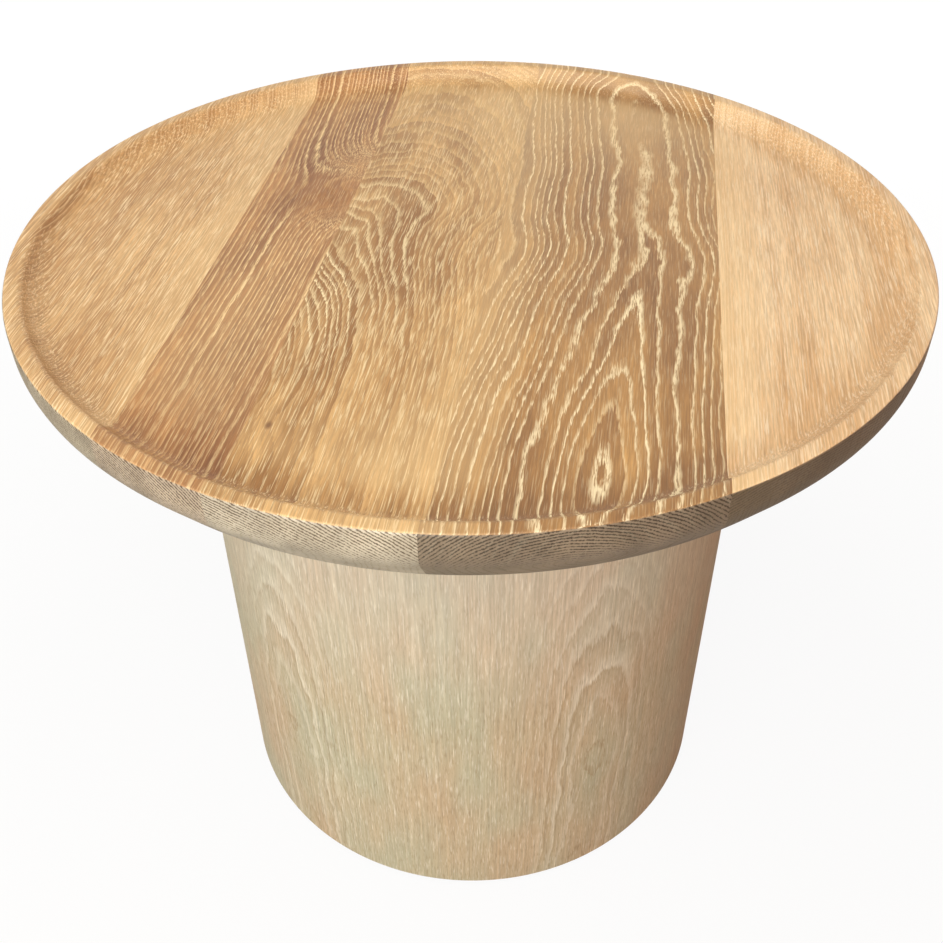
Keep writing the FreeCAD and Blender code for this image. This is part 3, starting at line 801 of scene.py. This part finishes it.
class TABLE_OT_carcase(bpy.types.Operator):
    """Finish the plywood, pine and beech inside the table"""

    bl_idname = "side_table.carcase"
    bl_label = "Carcase"

    def execute(self, context):
        ply, pine_ring, beech_ring = 1.5, 3.5, 2
        pine, beech = ("E3C593", "BD8C50"), ("D2A878", "BE8F60")
        uprights = [f"upright_{side}" for side in ("front", "right", "rear", "left")]
        joint_splines = [f"joint_{number}_spline" for number in range(1, 5)]
        finishes = {
            plywood("bent_birch_plywood", ply, round_drum=True): ["front_shell", "rear_shell"],
            plywood("flat_birch_plywood", ply, round_drum=False): ["top_plate", "base_ring"],
            planed_wood("planed_pine", *pine, pine_ring, upright=True): uprights,
            planed_wood("planed_beech", *beech, beech_ring, upright=False): joint_splines,
            planed_wood("planed_beech_upright", *beech, beech_ring, upright=True): ["shell_splines"],
        }
        for material, nodes in finishes.items():
            for node in nodes:
                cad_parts[node].material_slots[0].material = material
        return {"FINISHED"}


def eased_square(node, width, share, count):
    """Square outline whose corners are rounded by a share of its width."""
    square = node("GeometryNodeCurvePrimitiveQuadrilateral", {"Width": width, "Height": width})
    corner = node(TIMES, width, share)
    return node(FILLET, {"Curve": square, "Radius": corner, "Count": count})


def thick_plate(node, loops, thickness):
    """Close curves to a plate that stands up from them."""
    face = node("GeometryNodeFillCurve", {"Curve": loops}, mode="NGONS")
    upward = {"Offset": node(XYZ, {"Z": thickness}), "Offset Scale": 1.0, "Individual": False}
    raised = node("GeometryNodeExtrudeMesh", {"Mesh": face, **upward})
    under = node("GeometryNodeFlipFaces", {"Mesh": face})
    both = node(JOIN, {"Geometry": [raised, under]})
    return node("GeometryNodeMergeByDistance", {"Geometry": both, "Distance": WELD})


class TABLE_OT_top_fixings(bpy.types.Operator):
    """Set the hexagon-headed screws and their square washers"""

    bl_idname = "side_table.top_fixings"
    bl_label = "Top Fixings"

    def execute(self, context):
        sizes = context.scene.side_table_fixings
        zinc = zinc_plate("bright_zinc_plate")
        low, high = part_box("top_fixing_washers")
        spread = high - low
        shared = {"Across": spread.x - sizes.washer_width, "Along": spread.y - sizes.washer_width,
                  "Level": WASHER_FOOT, "Material": zinc}
        screw_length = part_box("top_fixing_screws")[1].z - WASHER_FOOT
        screws = grow("zinc_screws", self.screw_tree(), {
            **shared, "Corner Radius": sizes.head_width * HEX_CORNER / 2, "Head Height": sizes.head_height,
            "Thread Radius": sizes.shank / 2, "Length": screw_length, "Turns": screw_length / sizes.pitch})
        settle(screws, "zinc_steel", "top_fixing_screws")
        washers = grow("zinc_washers", self.washer_tree(), {
            **shared, "Width": sizes.washer_width, "Hole Radius": sizes.shank / 2 + sizes.hole_play,
            "Thickness": high.z - low.z})
        settle(washers, "zinc_steel", "top_fixing_washers")
        return {"FINISHED"}

    def screw_tree(self):
        """Tree for four screws with a chamfered hexagon head and a wood thread."""
        titles = "Corner Radius", "Head Height", "Thread Radius", "Length", "Turns"
        tree, node, entry = new_tree("hexagon_screws", *GRID_INPUTS, *titles)
        # Sizes of the screw's parts as shares of its own sizes
        shares = {"Head Height": (0.15, 0.85, -1.0), "Corner Radius": (0.86, 0.72),
                  "Thread Radius": (0.72, 0.84, 0.16), "Length": (0.5, 0.94)}
        chamfer, prism, cap_z, flat, crown, root, crest, rib, half, rise = (
            node(TIMES, entry[title], part) for title, parts in shares.items() for part in parts)
        prism_z = node(TIMES, prism, -0.5)
        head = node(CYLINDER, {"Vertices": 6, "Radius": entry["Corner Radius"], "Depth": prism})
        cone = {"Vertices": 24, "Radius Top": flat, "Radius Bottom": crown, "Depth": chamfer}
        cap = node("GeometryNodeMeshCone", cone)
        shank = node(CYLINDER, {"Vertices": 20, "Radius": root, "Depth": entry["Length"]})
        parts = [node(MOVE, {"Geometry": part, "Translation": node(XYZ, {"Z": height})})
                 for part, height in ((head, prism_z), (cap, cap_z), (shank, half))]
        winding = {"Resolution": 18, "Rotations": entry["Turns"], "Height": rise}
        coil = node("GeometryNodeCurveSpiral", {**winding, "Start Radius": crest, "End Radius": crest})
        ridge = node(CIRCLE, {"Resolution": 3, "Radius": rib})
        thread = node(SWEEP, {"Curve": coil, "Profile Curve": ridge, "Fill Caps": True})
        screw = node(JOIN, {"Geometry": [*parts, thread]})
        close_tree(node, self.on_grid(node, entry, screw), entry)
        return tree

    def washer_tree(self):
        """Tree for four square plate washers with a round hole."""
        tree, node, entry = new_tree("square_washers", *GRID_INPUTS, "Width", "Hole Radius", "Thickness")
        square = eased_square(node, entry["Width"], 0.08, 5)
        hole = node(CIRCLE, {"Resolution": 32, "Radius": entry["Hole Radius"]})
        loops = node(JOIN, {"Geometry": [square, hole]})
        plate = thick_plate(node, loops, entry["Thickness"])
        close_tree(node, self.on_grid(node, entry, plate), entry)
        return tree

    def on_grid(self, node, entry, part):
        """Set a part at the four places of the screws."""
        spread = {"Size X": entry["Across"], "Size Y": entry["Along"], "Vertices X": 2, "Vertices Y": 2}
        grid = node("GeometryNodeMeshGrid", spread)
        level = node(XYZ, {"Z": entry["Level"]})
        raised = node(MOVE, {"Geometry": grid, "Translation": level})
        return node("GeometryNodeInstanceOnPoints", {"Points": raised, "Instance": part})


class TABLE_OT_felt_pads(bpy.types.Operator):
    """Stick the felt pads under the drum"""

    bl_idname = "side_table.felt_pads"
    bl_label = "Felt Pads"

    def execute(self, context):
        sizes = context.scene.side_table_fixings
        low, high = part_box("felt_pads")
        # The box round the pads ends at the outer corners of the pads beside each axis
        step = math.pi / sizes.pad_count
        corner_reach = sizes.pad_width / 2 * (math.cos(step) + math.sin(step))
        ring_radius = ((high.x - low.x) / 2 - corner_reach) / math.cos(step)
        piece = grow("felt_squares", self.pad_tree(), {
            "Ring Radius": ring_radius, "Count": sizes.pad_count, "First": step, "Width": sizes.pad_width,
            "Thickness": high.z - low.z, "Material": wool_felt("pressed_wool_felt")})
        settle(piece, "wool_felt", "felt_pads")
        return {"FINISHED"}

    def pad_tree(self):
        """Tree for square pads in a ring, each turned to face outwards."""
        tree, node, entry = new_tree("felt_pads", "Ring Radius", "Count", "First", "Width", "Thickness")
        ring = node(CIRCLE, {"Resolution": entry["Count"], "Radius": entry["Ring Radius"]})
        turn = node(XYZ, {"Z": entry["First"]})
        turned = node(MOVE, {"Geometry": ring, "Rotation": turn})
        places = node("GeometryNodeCurveToPoints", {"Curve": turned}, mode="EVALUATED")
        pad = thick_plate(node, eased_square(node, entry["Width"], 0.06, 4), entry["Thickness"])
        position = node("GeometryNodeInputPosition")
        apart = node("ShaderNodeSeparateXYZ", position).node.outputs
        bearing = node(ARCTAN, apart["Y"], apart["X"])
        outward = node(XYZ, {"Z": bearing})
        facing = {"Points": places, "Instance": pad, "Rotation": outward}
        close_tree(node, node("GeometryNodeInstanceOnPoints", facing), entry)
        return tree


class TABLE_OT_stage(bpy.types.Operator):
    """Lay the floor, hang the lamps and set up the camera"""

    bl_idname = "side_table.stage"
    bl_label = "Studio"

    def execute(self, context):
        look = context.scene.side_table_stage
        self.lay_floor()
        self.light_world(context, look)
        self.hang_lamp("key_lamp", (-0.52, -1.83, 0.75), 1.3, look.key_power, "F6FAFF")
        self.hang_lamp("fill_lamp", (-0.3, -0.7, 2.15), 2.0, look.fill_power, "FFFAF2")
        self.hang_lamp("warm_lamp", (1.9, -0.3, 0.8), 1.4, look.warm_power, "FF9C58")
        self.hang_lamp("back_lamp", (0.0, 2.2, 0.22), 0.5, look.back_power, "FFF6EA")
        self.set_camera(context, look)
        context.scene.view_settings.view_transform = "Standard"
        return {"FINISHED"}

    def lay_floor(self):
        """White seamless floor that keeps the table's soft shadow."""
        half = 6.0
        mesh = bpy.data.meshes.new("studio_floor")
        corners = [(-half, -half, 0), (half, -half, 0), (half, half, 0), (-half, half, 0)]
        mesh.from_pydata(corners, [], [(0, 1, 2, 3)])
        material, node, place = new_material("seamless_paper")
        paper = node("ShaderNodeBsdfDiffuse", {"Color": "C8C4BD"})
        glow = node("ShaderNodeEmission", {"Color": "FFFFFF", "Strength": 1.02})
        seen = node("ShaderNodeLightPath", out="Is Camera Ray")
        # The paper fades to plain white away from the table, so no horizon shows
        away = node(REACH, place)
        fade = node(RANGE, away, 0.4, 1.6, 0.91, 1)
        part = node(TIMES, seen, fade)
        mixed = node("ShaderNodeMixShader", part, paper, glow)
        node("ShaderNodeOutputMaterial", {"Surface": mixed})
        mesh.materials.append(material)
        floor = put("studio_floor", mesh)

    def light_world(self, context, look):
        """Even white light, with a white backdrop where it is seen."""
        world = bpy.data.worlds.new("studio")
        context.scene.world = world
        world.use_nodes = True
        world.node_tree.nodes.clear()
        node = partial(add_node, world.node_tree)
        even = node("ShaderNodeBackground", {"Color": "FFEBD2", "Strength": look.surround})
        white = node("ShaderNodeBackground", {"Color": "FFFFFF", "Strength": 1.0})
        rays = node("ShaderNodeLightPath").node.outputs
        seen = node(MAXIMUM, rays["Is Camera Ray"], rays["Is Glossy Ray"])
        mixed = node("ShaderNodeMixShader", seen, even, white)
        node("ShaderNodeOutputWorld", {"Surface": mixed})

    def hang_lamp(self, name, place, size, power, colour):
        """Square soft lamp that faces the table."""
        lamp = bpy.data.lights.new(name, "AREA")
        lamp.size = size
        lamp.energy = power
        lamp.color = linear(colour)[:3]
        carrier = put(name, lamp)
        carrier.location = place
        under_tray = Vector((0, 0, 0.4))
        toward = under_tray - carrier.location
        carrier.rotation_euler = toward.to_track_quat("-Z", "Y").to_euler()

    def set_camera(self, context, look):
        """Camera that looks down on the tray from the front."""
        data = bpy.data.cameras.new("camera")
        data.sensor_width = 36.0
        data.lens = look.lens
        camera = put("camera", data)
        level, rise = math.cos(look.elevation), math.sin(look.elevation)
        ahead, aside = math.cos(look.bearing), math.sin(look.bearing)
        back = Vector((aside * level, -ahead * level, rise))
        right = Vector((ahead, aside, 0))
        up = back.cross(right)
        turned_right = math.cos(look.roll) * right + math.sin(look.roll) * up
        turned_up = math.cos(look.roll) * up - math.sin(look.roll) * right
        place = Matrix((turned_right, turned_up, back)).transposed().to_4x4()
        place.translation = back * look.distance + Vector((0, 0, look.aim_height))
        camera.matrix_world = place
        context.scene.camera = camera


class TABLE_PT_panel(bpy.types.Panel):
    """Sizes of the table and buttons that make its pieces"""

    bl_idname = "TABLE_PT_panel"
    bl_label = "Round Side Table"
    bl_space_type = "VIEW_3D"
    bl_region_type = "UI"
    bl_category = "Side Table"

    def draw(self, context):
        for title, settings_name, _, operators in PANEL_ROWS:
            box = self.layout.box()
            box.label(text=title)
            values = getattr(context.scene, settings_name)
            for name in values.bl_rna.properties.keys():
                if name not in ("rna_type", "name"):
                    box.prop(values, name)
            for operator in operators:
                box.operator(operator.bl_idname)


PANEL_ROWS = [
    ("Top", "side_table_top", TopSettings, [TABLE_OT_top_boards]),
    ("Drum", "side_table_drum", DrumSettings, [TABLE_OT_veneer_leaves, TABLE_OT_carcase]),
    ("Fixings", "side_table_fixings", FixingSettings, [TABLE_OT_top_fixings, TABLE_OT_felt_pads]),
    ("Studio", "side_table_stage", StageSettings, [TABLE_OT_stage]),
]
BUTTONS = [operator for *_, operators in PANEL_ROWS for operator in operators] + [TABLE_PT_panel]


def register():
    for _, name, settings, _ in PANEL_ROWS:
        bpy.utils.register_class(settings)
        setattr(bpy.types.Scene, name, bpy.props.PointerProperty(type=settings))
    for button in BUTTONS:
        bpy.utils.register_class(button)


def unregister():
    for button in reversed(BUTTONS):
        bpy.utils.unregister_class(button)
    for _, name, settings, _ in PANEL_ROWS:
        delattr(bpy.types.Scene, name)
        bpy.utils.unregister_class(settings)


def main():
    """Make every piece."""
    register()
    bpy.ops.side_table.top_boards()
    bpy.ops.side_table.veneer_leaves()
    bpy.ops.side_table.carcase()
    bpy.ops.side_table.top_fixings()
    bpy.ops.side_table.felt_pads()
    bpy.ops.side_table.stage()


if __name__ == "__main__":
    main()
